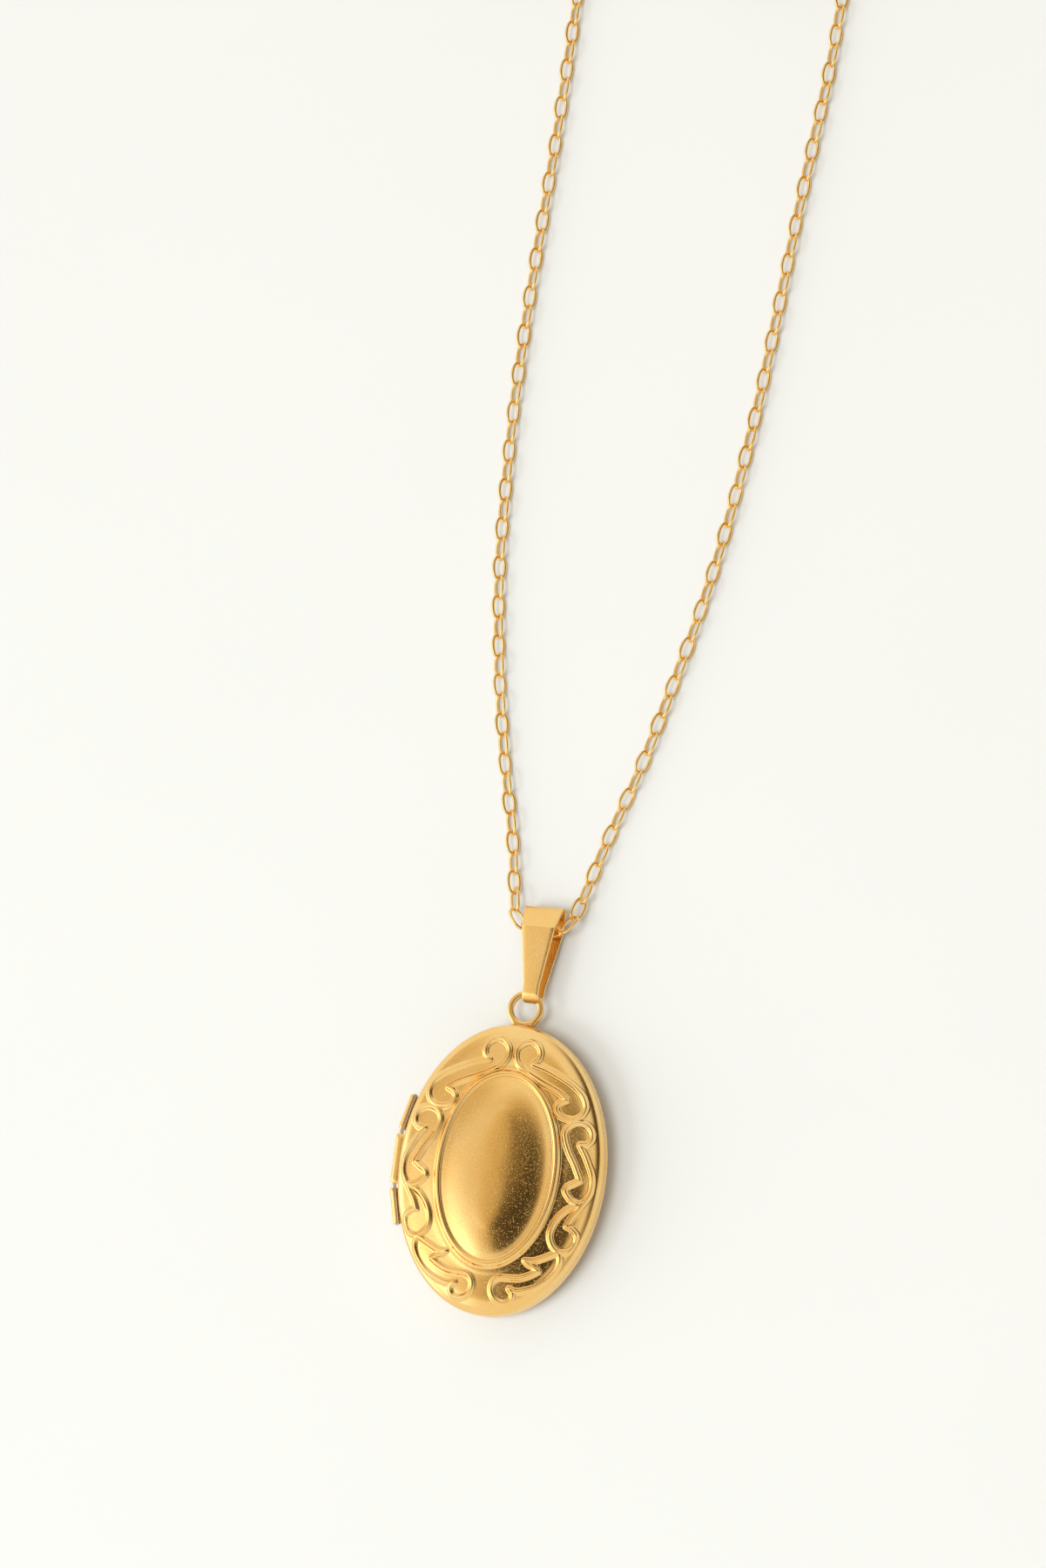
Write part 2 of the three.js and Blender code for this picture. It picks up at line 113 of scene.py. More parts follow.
TAIL_LEFT_ROUTE = [(-8.8, 129.3, 1.6), (-8.3, 131.9, 1.35), (-6.4, 134.4, 1.25), (-3.6, 135.4, 1.23)]
TAIL_RIGHT_ROUTE = [(17.0, 129.3, 1.5), (17.0, 131.2, 1.0), (16.9, 132.9, LAID_Z)]
COIL_LEFT = (-17.5, 123.2)
COIL_RIGHT = (8.3, 123.2)
COIL_RADII = (8.7, 7.1)
COIL_LAYERS = (LAID_Z, LAID_Z + LINK_WIDTH + 0.05)
COIL_TURNS = 2
POINTS_PER_TURN = 24

# How each half's links are turned, at the bail and at the far end, and their random seed.
LEFT_TURNS = (-43.0, 0.0, 5)
RIGHT_TURNS = (47.0, 90.0, 6)

# Fittings, and how far the last link reaches into each ring.
JUMP_RING = {"centre": (-2.1, 135.4, 1.23), "radius": 1.0, "wire": 0.2}
END_RING = {"centre": (16.9, 135.2, 0.38), "radius": 1.65, "wire": 0.35}
JUMP_REACH = 0.42
END_REACH = 0.28
LEFT_END = (JUMP_RING["centre"][0] - JUMP_RING["radius"] + JUMP_RING["wire"] + JUMP_REACH, 135.4, 1.23)
RIGHT_END = (16.9, END_RING["centre"][1] - END_RING["radius"] + END_RING["wire"] + END_REACH, LAID_Z)


# ---------------------------------------------------------------- geometry helpers

def rim(inset, height):
    """The oval that lies an inset inside the covers' outline, at a height."""
    return (HALF_WIDTH - inset, HALF_LENGTH - inset, height)


def ring(inset, height):
    """The oval that lies an inset inside the medallion's edge, at a height."""
    return (MEDALLION[0] - inset, MEDALLION[1] - inset, height)


def centre(height):
    return (0.0, 0.0, height)


def spline(points, steps):
    """Points on a smooth curve through the given ones, with some steps to each span."""
    given = np.asarray(points, float)
    padded = np.vstack([2 * given[0] - given[1], given, 2 * given[-1] - given[-2]])
    share = np.linspace(0, 1, steps, endpoint=False)[:, None]
    spans = []
    for a, b, c, d in zip(padded, padded[1:], padded[2:], padded[3:]):
        spans.append(0.5 * (2 * b + (c - a) * share + (2 * a - 5 * b + 4 * c - d) * share**2
                            + (3 * b - a - 3 * c + d) * share**3))
    return np.vstack([*spans, given[-1:]])


def distances_along(path):
    """The distance from the path's start to each of its points."""
    steps = np.linalg.norm(np.diff(path, axis=0), axis=1)
    return np.concatenate([[0.0], np.cumsum(steps)])


def place_along(path, at):
    """The points at the given distances along a path."""
    gone = distances_along(path)
    return np.stack([np.interp(at, gone, path[:, k]) for k in range(path.shape[1])], axis=1)


def evenly(path, count):
    """The path again, as a number of points an equal distance apart."""
    return place_along(path, np.linspace(0, distances_along(path)[-1], count))


def grid_faces(rows, columns, close_rows, close_columns):
    """Four-sided faces over a grid of vertices, wrapping round where it closes."""
    row = np.arange(rows if close_rows else rows - 1)
    column = np.arange(columns if close_columns else columns - 1)
    r, c = np.meshgrid(row, column, indexing="ij")
    next_r = (r + 1) % rows
    next_c = (c + 1) % columns
    corners = [r * columns + c, next_r * columns + c, next_r * columns + next_c, r * columns + next_c]
    return np.stack(corners, axis=-1).reshape(-1, 4).tolist()


def faces_inward(points, faces):
    """True if a closed mesh's faces point into it, by the sign of its volume."""
    volume = 0.0
    for size in (3, 4):
        chosen = np.array([f for f in faces if len(f) == size], int).reshape(-1, size)
        for k in range(1, size - 1):
            a, b, c = (points[chosen[:, j]] for j in (0, k, k + 1))
            volume += np.einsum("ij,ij->", a, np.cross(b, c))
    return volume < 0


def make_piece(name, points, faces, material, crease=50.0):
    """A smooth-shaded closed mesh from points in millimetres."""
    points = np.asarray(points, float) * MM
    if faces_inward(points, faces):
        faces = [face[::-1] for face in faces]
    mesh = bpy.data.meshes.new(name)
    mesh.from_pydata(points.tolist(), [], faces)
    mesh.update()
    mesh.shade_smooth()
    mesh.set_sharp_from_angle(angle=math.radians(crease))
    mesh.materials.append(material)
    piece = bpy.data.objects.new(name, mesh)
    bpy.context.scene.collection.objects.link(piece)
    return piece


def settle(piece, body, slot, *nodes):
    """The piece rides on a body and stands for the CAD nodes, which are hidden; the slot is not used."""
    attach(piece, body)
    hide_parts(*nodes)
    return piece


# ---------------------------------------------------------------- camera

CAMERA_TARGET = (-3.79, 35.89, 0.0)
CAMERA_DIRECTION = (0.283, -0.153, 0.947)
CAMERA_UP = (-0.139, 0.990, 0.0)
CAMERA_DISTANCE = 0.42
CAMERA_LENS = 104.2


def make_camera():
    """Looks down at the locket from a little to its right and below."""
    target = Vector(CAMERA_TARGET) * MM
    to_camera = Vector(CAMERA_DIRECTION).normalized()
    up_hint = Vector(CAMERA_UP)
    right = up_hint.cross(to_camera).normalized()
    up = to_camera.cross(right)
    data = bpy.data.cameras.new("camera")
    data.sensor_width = 36.0
    data.lens = CAMERA_LENS
    data.clip_start = 0.01
    data.clip_end = 20.0
    camera = bpy.data.objects.new("camera", data)
    bpy.context.scene.collection.objects.link(camera)
    turned = Matrix((right, up, to_camera)).transposed().to_4x4()
    camera.matrix_world = Matrix.Translation(target + to_camera * CAMERA_DISTANCE) @ turned
    bpy.context.scene.camera = camera


# ---------------------------------------------------------------- materials

class Nodes:
    """A material's node tree, with short ways to add to it."""

    def __init__(self, name):
        self.material = bpy.data.materials.new(name)
        self.material.use_nodes = True
        self.tree = self.material.node_tree
        self.shader = self.tree.nodes["Principled BSDF"]
        self.place = self.add("ShaderNodeTexCoord").outputs["Object"]

    def add(self, kind, **settings):
        node = self.tree.nodes.new(kind)
        for key, value in settings.items():
            setattr(node, key, value)
        return node

    def join(self, source, target):
        self.tree.links.new(source, target)

    def stretched(self, scale, turn=(0, 0, 0)):
        """Object coordinates, turned and then stretched."""
        turned = self.add("ShaderNodeMapping", vector_type="POINT")
        turned.inputs["Rotation"].default_value = [math.radians(angle) for angle in turn]
        self.join(self.place, turned.inputs["Vector"])
        scaled = self.add("ShaderNodeMapping", vector_type="POINT")
        scaled.inputs["Scale"].default_value = scale
        self.join(turned.outputs["Vector"], scaled.inputs["Vector"])
        return scaled.outputs["Vector"]

    def noise(self, size, detail=3.0, vector=None):
        """Noise whose features are about a size in millimetres."""
        node = self.add("ShaderNodeTexNoise")
        node.inputs["Scale"].default_value = 1.0 / (size * MM)
        node.inputs["Detail"].default_value = detail
        self.join(vector or self.place, node.inputs["Vector"])
        return node.outputs["Fac"]

    def ranged(self, value, old, new):
        """The value mapped from one range to another, held at its ends."""
        node = self.add("ShaderNodeMapRange")
        node.inputs["From Min"].default_value, node.inputs["From Max"].default_value = old
        node.inputs["To Min"].default_value, node.inputs["To Max"].default_value = new
        self.join(value, node.inputs["Value"])
        return node.outputs["Result"]

    def summed(self, a, b):
        node = self.add("ShaderNodeMath", operation="ADD")
        self.join(a, node.inputs[0])
        self.join(b, node.inputs[1])
        return node.outputs["Value"]

    def coloured(self, value, low, high):
        """Colour that goes from low to high as the value goes from 0 to 1."""
        node = self.add("ShaderNodeMix", data_type="RGBA")
        node.inputs["A"].default_value = (*low, 1.0)
        node.inputs["B"].default_value = (*high, 1.0)
        self.join(value, node.inputs["Factor"])
        self.join(node.outputs["Result"], self.shader.inputs["Base Color"])

    def bumped(self, layers):
        """Bumps one on another; each layer is a value and its depth in millimetres."""
        last = None
        for value, depth in layers:
            node = self.add("ShaderNodeBump")
            node.inputs["Strength"].default_value = 1.0
            node.inputs["Distance"].default_value = depth * MM
            self.join(value, node.inputs["Height"])
            if last:
                self.join(last, node.inputs["Normal"])
            last = node.outputs["Normal"]
        self.join(last, self.shader.inputs["Normal"])


GOLD_PALE = (0.93, 0.65, 0.275)
GOLD_DEEP = (0.90, 0.58, 0.20)


def scratches(nodes, turn, rarity):
    """Sparse fine lines: noise drawn out along one direction, with only its peaks kept."""
    vector = nodes.stretched((1.0, 0.012, 1.0), turn=(0, 0, turn))
    return nodes.ranged(nodes.noise(0.05, 1.0, vector), (rarity, rarity + 0.06), (0.0, 1.0))


def gold(name, roughness, grain, wear=1.0, brushed=None):
    """Gold plate: warm, with a fine satin grain, specks, and a few scratches from wear."""
    nodes = Nodes(name)
    nodes.shader.inputs["Metallic"].default_value = 1.0
    tone = nodes.noise(5.0, 5.0)
    nodes.coloured(nodes.ranged(tone, (0.3, 0.7), (0.0, 1.0)), GOLD_PALE, GOLD_DEEP)
    specks = nodes.ranged(nodes.noise(0.11, 2.0), (0.60, 0.70), (0.0, 0.12 * wear))
    haze = nodes.ranged(nodes.noise(4.0, 3.0), (0.3, 0.7), (roughness * 0.95, roughness * 1.06))
    nodes.join(nodes.summed(haze, specks), nodes.shader.inputs["Roughness"])
    layers = [(nodes.noise(0.24, 3.0), 0.0026 * grain)]
    layers.append((nodes.ranged(nodes.noise(0.13, 1.0), (0.65, 0.71), (0.0, 1.0)), -0.003 * grain))
    layers.append((scratches(nodes, 24, 0.73), -0.0014 * wear))
    layers.append((scratches(nodes, -38, 0.74), -0.0014 * wear))
    if brushed is not None:
        lines = nodes.noise(0.05, 2.0, nodes.stretched((1.0, 0.06, 1.0), turn=(0, 0, brushed)))
        layers.append((lines, 0.006))
    nodes.bumped(layers)
    return nodes.material


def steel():
    """Drawn steel wire, with faint lines along it."""
    nodes = Nodes("bare_steel")
    nodes.shader.inputs["Metallic"].default_value = 1.0
    nodes.coloured(nodes.noise(0.4), (0.50, 0.50, 0.51), (0.66, 0.66, 0.66))
    nodes.join(nodes.ranged(nodes.noise(0.1), (0.3, 0.7), (0.22, 0.36)), nodes.shader.inputs["Roughness"])
    nodes.bumped([(nodes.noise(0.04, 2.0, nodes.stretched((1.0, 0.05, 1.0))), 0.003)])
    return nodes.material


def clear_plastic():
    """The windows' clear sheet, with light scuffs."""
    nodes = Nodes("clear_window")
    nodes.shader.inputs["Transmission Weight"].default_value = 1.0
    nodes.shader.inputs["IOR"].default_value = 1.49
    nodes.coloured(nodes.noise(3.0), (0.97, 0.98, 0.97), (1.0, 1.0, 1.0))
    scuffs = scratches(nodes, 12, 0.66)
    nodes.join(nodes.ranged(scuffs, (0.0, 1.0), (0.03, 0.14)), nodes.shader.inputs["Roughness"])
    nodes.bumped([(scuffs, -0.001)])
    return nodes.material


def card_stock():
    """Cream card with a fibre grain and slight mottling."""
    nodes = Nodes("card_stock")
    nodes.shader.inputs["Roughness"].default_value = 0.85
    nodes.coloured(nodes.noise(0.8, 5.0), (0.93, 0.86, 0.72), (0.97, 0.92, 0.81))
    fibres = nodes.noise(0.12, 4.0, nodes.stretched((1.0, 0.35, 1.0), turn=(0, 0, 18)))
    nodes.bumped([(fibres, 0.012)])
    return nodes.material


# ---------------------------------------------------------------- chain

def coil_route(middle):
    """Turns of chain, met and left on the right: inward on the table, outward on top."""
    outer, inner = COIL_RADII
    half = COIL_TURNS / 2
    low, high = COIL_LAYERS
    count = COIL_TURNS * POINTS_PER_TURN + 1
    points = []
    for gone in np.linspace(0, COIL_TURNS, count):
        radius = outer + (inner - outer) * (1 - abs(gone - half) / half)
        rise = min(max((gone - half) / 0.3 + 0.5, 0.0), 1.0)
        height = low + (high - low) * rise * rise * (3 - 2 * rise)
        angle = 2 * math.pi * gone
        points.append((middle[0] + radius * math.cos(angle), middle[1] + radius * math.sin(angle), height))
    return points


def chain_path(mouth, strand, middle, tail, end):
    """One half of the chain, from the bail's middle to the fitting at its end."""
    leave = (tail[0][0], (middle[1] + tail[0][1]) / 2, COIL_LAYERS[1] - 0.12)
    points = [*mouth, *strand, *coil_route(middle), leave, *tail, end]
    path = spline(points, 8)
    laid = np.clip((path[:, 1] - 25.0) / 6.0, 0, 1)
    before_tail = np.clip((distances_along(path)[-1] - distances_along(path)) / 12.0 - 0.5, 0, 1)
    path[:, 2] -= LIE_LOWER * laid * before_tail
    return evenly(path, 700)


def link_template(around=24, across=8):
    """A link's points, as (along, sideways, off its plane): an oval of flat-sided wire."""
    turn = np.linspace(0, 2 * math.pi, around, endpoint=False)
    section = np.linspace(0, 2 * math.pi, across, endpoint=False) + math.pi / across
    half_length = (LINK_LENGTH - WIRE_WIDTH) / 2
    half_width = (LINK_WIDTH - WIRE_WIDTH) / 2
    squareness = 2 / 2.35
    cos_turn, sin_turn = np.cos(turn), np.sin(turn)
    along = half_length * np.sign(cos_turn) * np.abs(cos_turn) ** squareness
    sideways = half_width * np.sign(sin_turn) * np.abs(sin_turn) ** squareness
    out = np.stack([cos_turn * half_width, sin_turn * half_length], axis=1)
    out /= np.linalg.norm(out, axis=1, keepdims=True)
    wide = WIRE_WIDTH / 2 * np.sign(np.cos(section)) * np.abs(np.cos(section)) ** 0.8
    deep = WIRE_DEPTH / 2 * np.sign(np.sin(section)) * np.abs(np.sin(section)) ** 0.8
    flat = np.stack([along, sideways], axis=1)[:, None, :] + wide[None, :, None] * out[:, None, :]
    height = np.broadcast_to(deep[None, :, None], (around, across, 1))
    return np.concatenate([flat, height], axis=2), grid_faces(around, across, True, True)


def link_chain(name, path, first_roll, end_roll, seed, material):
    """Interlocked links along a path, each turned a quarter from the last."""
    template, faces = link_template()
    flat = template.reshape(-1, 3)
    total = distances_along(path)[-1]
    count = int((total - LINK_PITCH / 2) / LINK_PITCH) + 1
    pitch = total / (count - 0.5 + LINK_LENGTH / 2 / LINK_PITCH)
    random = np.random.default_rng(seed)
    points, all_faces = [], []
    for k in range(count):
        at = pitch * (k + 0.5)
        ends = place_along(path, np.array([at - pitch / 2, at + pitch / 2]))
        middle = place_along(path, np.array([at]))[0]
        along = ends[1] - ends[0]
        along /= np.linalg.norm(along)
        side = np.cross((0, 0, 1), along)
        side /= np.linalg.norm(side)
        upward = np.cross(along, side)
        near_end = min(max((k - (count - 9)) / 8, 0.0), 1.0)
        quarter = 90.0 * (k % 2)
        roll = first_roll + quarter + random.uniform(-4, 4)
        settled = end_roll - 90.0 * ((count - 1) % 2) + quarter
        roll = math.radians(roll + (settled - roll) * near_end)
        across = math.cos(roll) * side + math.sin(roll) * upward
        normal = np.cross(along, across)
        basis = np.stack([along, across, normal])
        all_faces.extend([[v + k * len(flat) for v in face] for face in faces])
        points.append(middle + flat @ basis)
    return make_piece(name, np.vstack(points), all_faces, material, crease=60.0)


# ---------------------------------------------------------------- covers

def oval_piece(name, profile, sides, material, reshape=None, crease=50.0):
    """Stacked ovals (half width, half length, height) as one skin, poles at the axis."""
    profile = np.asarray(profile, float)
    open_ended = profile[0][0] < 1e-9
    rows = profile[1:-1] if open_ended else profile
    angle = np.linspace(0, 2 * math.pi, sides, endpoint=False)
    x = np.cos(angle)[:, None] * rows[None, :, 0]
    y = np.sin(angle)[:, None] * rows[None, :, 1]
    z = np.broadcast_to(rows[None, :, 2], x.shape).copy()
    if reshape:
        z = reshape(x, y, z)
    points = np.stack([x, y, z], axis=2).reshape(-1, 3)
    faces = grid_faces(sides, len(rows), True, not open_ended)
    if open_ended:
        first, last = len(points), len(points) + 1
        points = np.vstack([points, [[0, 0, profile[0][2]], [0, 0, profile[-1][2]]]])
        for k in range(sides):
            here, there = k * len(rows), (k + 1) % sides * len(rows)
            faces.append([first, there, here])
            faces.append([last, here + len(rows) - 1, there + len(rows) - 1])
    return make_piece(name, points, faces, material, crease)


# The scrolls of the right half, as lines of raised bead. A list is one smooth line.
TOP_SCROLL = [
    [(2.1, 9.78), (2.5, 10.15), (2.62, 10.75), (2.3, 11.4), (1.65, 11.75), (0.95, 11.6),
     (0.42, 11.05), (0.33, 10.4), (0.55, 9.75), (1.15, 9.12), (1.95, 8.64), (2.95, 8.17),
     (4.15, 7.68), (4.95, 7.28), (5.6, 6.8)],
    [(5.6, 6.8), (5.05, 6.5), (4.76, 6.02), (4.98, 5.5), (5.6, 5.15), (6.45, 5.1),
     (7.15, 5.55), (7.42, 6.3), (7.2, 7.05), (6.75, 7.62), (5.9, 8.26), (4.55, 8.95),
     (3.2, 9.48), (2.1, 9.78)],
]
SIDE_SCROLL = [
    [(7.35, 2.93), (7.95, 3.0), (8.35, 3.5), (8.3, 4.2), (7.8, 4.78), (7.05, 4.95),
     (6.3, 4.65), (5.86, 3.98), (5.98, 3.2), (6.45, 2.15), (7.05, 1.2), (7.45, 0.45),
     (7.78, -0.2)],
    [(7.78, -0.2), (7.3, -0.55), (6.8, -0.85), (6.58, -1.3), (6.85, -1.75), (7.3, -2.15),
     (7.9, -2.35), (8.35, -2.2)],
    [(7.35, 2.93), (7.95, 2.05), (8.35, 1.3), (8.75, 0.45), (8.95, -0.45), (8.85, -1.3),
     (8.4, -2.15), (7.95, -2.9), (7.45, -3.65), (7.1, -4.45)],
]
LOWER_SCROLL = [
    [(8.2, -2.45), (7.55, -2.6), (6.85, -3.05), (6.15, -3.9), (5.75, -4.85), (5.72, -5.65),
     (6.05, -6.35), (6.6, -6.85)],
    [(7.1, -4.45), (7.6, -4.65), (8.08, -5.15), (8.12, -5.9), (7.7, -6.58), (7.15, -6.85),
     (6.6, -6.85)],
]
FOOT_SCROLL = [
    [(6.6, -6.85), (6.85, -7.35), (6.82, -8.0), (6.48, -8.8), (5.75, -9.65), (4.8, -10.27),
     (3.75, -10.67), (3.1, -10.76), (2.6, -10.6)],
    [(2.6, -10.6), (2.93, -11.0), (2.9, -11.5), (2.55, -11.83), (1.85, -11.9), (1.2, -11.5),
     (0.9, -10.8), (1.05, -10.1), (1.6, -9.7), (2.55, -9.64), (3.5, -9.53), (4.35, -9.17),
     (5.02, -8.72)],
    [(5.02, -8.72), (4.55, -8.38), (4.1, -8.22), (3.75, -7.94)],
    [(3.75, -7.94), (4.5, -7.88), (5.25, -7.57), (6.0, -7.18), (6.6, -6.85)],
]
SCROLL_LINES = TOP_SCROLL + SIDE_SCROLL + LOWER_SCROLL + FOOT_SCROLL
BEAD_HEIGHT = 0.25
BEAD_HALF_WIDTH = 0.36


def distance_to_lines(x, y, lines):
    """How far each point lies from the nearest of some smooth lines."""
    nearest = np.full(x.shape, 1e9)
    for line in lines:
        path = spline(line, 5)
        for (ax, ay), (bx, by) in zip(path, path[1:]):
            run_x, run_y = bx - ax, by - ay
            share = ((x - ax) * run_x + (y - ay) * run_y) / (run_x**2 + run_y**2 + 1e-12)
            share = np.clip(share, 0, 1)
            gap = np.hypot(x - ax - share * run_x, y - ay - share * run_y)
            nearest = np.minimum(nearest, gap)
    return nearest


def emboss(x, y, z):
    """Raises the scrolls' beads on the band of the front cover, the same on both sides."""
    oval = np.hypot(x / (HALF_WIDTH - 0.35), y / (HALF_LENGTH - 0.35))
    inner = np.hypot(x / (MEDALLION[0] + 0.05), y / (MEDALLION[1] + 0.05))
    band = (oval < 1) & (inner > 1) & (z > 3.6)
    gap = np.full(x.shape, 1e9)
    gap[band] = distance_to_lines(np.abs(x[band]), y[band], SCROLL_LINES)
    share = 0.5 + 0.5 * np.cos(math.pi * np.minimum(gap / BEAD_HALF_WIDTH, 1))
    fade = np.clip((1 - oval) * 28, 0, 1) * np.clip((inner - 1) * 28, 0, 1)
    return np.minimum(z + BEAD_HEIGHT * share * fade, TOP)


def front_cover(material):
    edge = PART_LINE + PART_GAP
    inside = [centre(TOP - 0.6), ring(0.6, 4.2), ring(-0.3, 3.96), rim(1.7, 3.9), rim(0.8, 3.5),
              rim(0.5, 3.1)]
    lip = [rim(SHEET, edge + 0.05), rim(SHEET - 0.05, edge), rim(0.05, edge), rim(0, edge + 0.05)]
    wall = spline([rim(0, edge + 0.06), rim(0, 2.75), rim(0, 2.86), rim(0.05, 2.92), rim(0.05, 2.98),
                   rim(0, 3.04)], 3)
    roll = spline([rim(0, 3.05), rim(0.02, 3.25), rim(0.1, 3.52), rim(0.3, 3.76)], 4)
    band = spline([rim(0.3, 3.76), rim(0.6, 3.91), rim(1.0, 4.02), rim(1.6, 4.13), ring(-1.0, 4.29),
                   ring(-0.5, 4.36), ring(-0.2, 4.39)], 10)
    bead = spline([ring(-0.2, 4.38), ring(-0.07, 4.47), ring(0.07, 4.64), ring(0.2, 4.75), ring(0.34, 4.77),
                   ring(0.47, 4.7), ring(0.57, 4.58), ring(0.64, 4.55)], 4)
    dome = spline([ring(0.64, 4.55), ring(0.7, 4.575), ring(0.85, 4.61), ring(1.3, 4.705), ring(2.1, 4.815),
                   ring(3.1, 4.905), ring(4.3, 4.972), (0.55, 0.85, 4.997)], 4)
    outside = [*wall, *roll[1:-1], *evenly(band, 72), *bead[1:], *dome[1:]]
    profile = [*inside, *lip, *outside, centre(TOP)]
    return oval_piece("embossed_front", profile, 1200, material, reshape=emboss, crease=80.0)


def back_cover(material):
    edge = PART_LINE - PART_GAP
    floor = [centre(0), (REST_FACE[0] * 0.6, REST_FACE[1] * 0.6, 0),
             (REST_FACE[0] - 0.05, REST_FACE[1] - 0.05, 0)]
    bowl = spline([(*REST_FACE, 0.0), rim(3.0, 0.09), rim(2.0, 0.26), rim(0.9, 0.68), rim(0.25, 1.28),
                   rim(0, 1.9)], 6)
    wall = spline([rim(0, 1.95), rim(0, 2.08), rim(0.05, 2.14), rim(0.05, 2.19), rim(0, 2.25),
                   rim(0, edge - 0.05)], 3)
    lip = [rim(0.05, edge), rim(SHEET - 0.05, edge), rim(SHEET, edge - 0.05)]
    inside = spline([rim(SHEET, 1.9), rim(0.7, 1.45), rim(1.3, 1.1), rim(2.3, 0.72),
                     (REST_FACE[0] - 0.2, REST_FACE[1] - 0.2, SHEET)], 4)
    profile = [*floor, *bowl, *wall, *lip, *inside, centre(SHEET)]
    return oval_piece("plain_back", profile, 320, material)


def rounded_plate(name, inset, low, high, corner, material):
    """A flat oval plate with eased edges."""
    profile = [centre(low), rim(inset + 2.0, low), rim(inset + corner, low), rim(inset, low + corner),
               rim(inset, high - corner), rim(inset + corner, high), rim(inset + 2.0, high), centre(high)]
    return oval_piece(name, profile, 240, material)


def photo_frame(name, outer_lip, facing, material):
    """A retaining ring with a rounded lip over the window's edge."""
    foot = outer_lip - 0.4 * facing
    lip = outer_lip - 0.25 * facing
    near = outer_lip - 0.05 * facing
    profile = [
        rim(1.35, foot), rim(1.0, foot), rim(0.95, foot + 0.05 * facing), rim(0.95, near - 0.05 * facing),
        rim(1.03, near), rim(1.2, outer_lip), rim(1.6, outer_lip), rim(1.85, near),
        rim(1.95, near - 0.1 * facing), rim(1.9, lip), rim(1.35, lip),
    ]
    return oval_piece(name, profile, 240, material)


def snap_band(material):
    """The spring band inside the front cover, with a catch bead opposite the hinge."""
    low, high = 1.93, 3.1
    bead_reach = 0.05
    bead_height = 2.14
    bead_half_length = 0.8
    bead_half_height = 0.16
    wall = [rim(0.55, height) for height in np.linspace(low + 0.06, 2.36, 9)]
    profile = [rim(0.81, low), rim(0.6, low), *wall, rim(0.55, high - 0.05), rim(0.6, high),
               rim(0.8, high), rim(0.85, high - 0.05), rim(0.85, low + 0.05)]
    band = oval_piece("snap_band", profile, 640, material)
    for vertex in band.data.vertices:
        x, y, z = vertex.co / MM
        if x > HALF_WIDTH - 0.7:
            away = math.hypot(y / bead_half_length, (z - bead_height) / bead_half_height)
            vertex.co.x += bead_reach * MM * (0.5 + 0.5 * math.cos(math.pi * min(away, 1.0)))
    return band


# ---------------------------------------------------------------- hinge

def strip_section(path, half):
    """The outline of a strip of sheet whose middle follows a path, with rounded ends."""
    tangent = np.gradient(path, axis=0)
    tangent /= np.linalg.norm(tangent, axis=1, keepdims=True)
    normal = np.stack([-tangent[:, 1], tangent[:, 0]], axis=1)
    scale = np.ones(len(path))
    scale[[0, -1]] = 0.6
    return path + normal * half * scale[:, None], path - normal * half * scale[:, None]


def rolled_barrel(name, middle, lean, length, above, seam, material):
    """Sheet wrapped round the pin, its root joined to a cover above or below the parting."""
    half_sheet = BARREL_SHEET / 2
    radius = BARREL_RADIUS - half_sheet
    angle = np.radians(np.linspace(-90, -360 + seam, 30))
    arc = np.stack([radius * np.cos(angle), radius * np.sin(angle)], axis=1)
    root = np.array([(0.72, -radius), (0.36, -radius)])
    path = np.vstack([root, arc])
    if above:
        path[:, 1] *= -1
    outer, inner = strip_section(path, half_sheet)
    count = len(path)
    stations = [(-0.5 * length, 0.7), (-0.5 * length + 0.04, 1.0)]
    stations += [(share * length, 1.0) for share in np.linspace(-0.4, 0.4, 5)]
    stations += [(0.5 * length - 0.04, 1.0), (0.5 * length, 0.7)]
    points = []
    for along, thickness in stations:
        mid = (outer + inner) / 2
        loop = np.vstack([mid + (outer - mid) * thickness, (mid + (inner - mid) * thickness)[::-1]])
        points.append(np.stack([loop[:, 0], np.full(len(loop), along), loop[:, 1]], axis=1))
    faces = grid_faces(len(stations), 2 * count, False, True)
    for station, order in ((0, 1), (len(stations) - 1, -1)):
        base = station * 2 * count
        for k in range(count - 1):
            face = [base + k, base + k + 1, base + 2 * count - 2 - k, base + 2 * count - 1 - k]
            faces.append(face[::order])
    points = np.vstack(points)
    turned = points.copy()
    turned[:, 0] = points[:, 0] * math.cos(lean) - points[:, 1] * math.sin(lean)
    turned[:, 1] = points[:, 0] * math.sin(lean) + points[:, 1] * math.cos(lean)
    return make_piece(name, turned + np.asarray(middle), faces, material, crease=40.0)


def round_bar(name, path, radius, material, sides=20, closed=False, crease=50.0, radii=None):
    """A round wire along a path, with rounded ends, or closed on itself."""
    path = np.asarray(path, float)
    radii = np.full(len(path), radius) if radii is None else np.asarray(radii, float)
    if closed:
        tangent = np.roll(path, -1, axis=0) - np.roll(path, 1, axis=0)
    else:
        tangent = np.gradient(path, axis=0)
    tangent /= np.linalg.norm(tangent, axis=1, keepdims=True)
    spread = path - path.mean(axis=0)
    flat_axis = np.linalg.svd(spread, full_matrices=False)[2][-1]
    side = np.cross(flat_axis, tangent)
    side /= np.linalg.norm(side, axis=1, keepdims=True)
    up = np.cross(tangent, side)
    turn = np.linspace(0, 2 * math.pi, sides, endpoint=False)
    circle = np.cos(turn)[None, :, None] * side[:, None, :] + np.sin(turn)[None, :, None] * up[:, None, :]
    points = (path[:, None, :] + circle * radii[:, None, None]).reshape(-1, 3)
    faces = grid_faces(len(path), sides, closed, True)
    if not closed:
        faces.append(list(range(sides)))
        faces.append(list(range(len(path) * sides - 1, (len(path) - 1) * sides - 1, -1)))
        if not faces_inward(points, faces[:-2]):
            faces[-2].reverse()
            faces[-1].reverse()
    return make_piece(name, points, faces, material, crease)


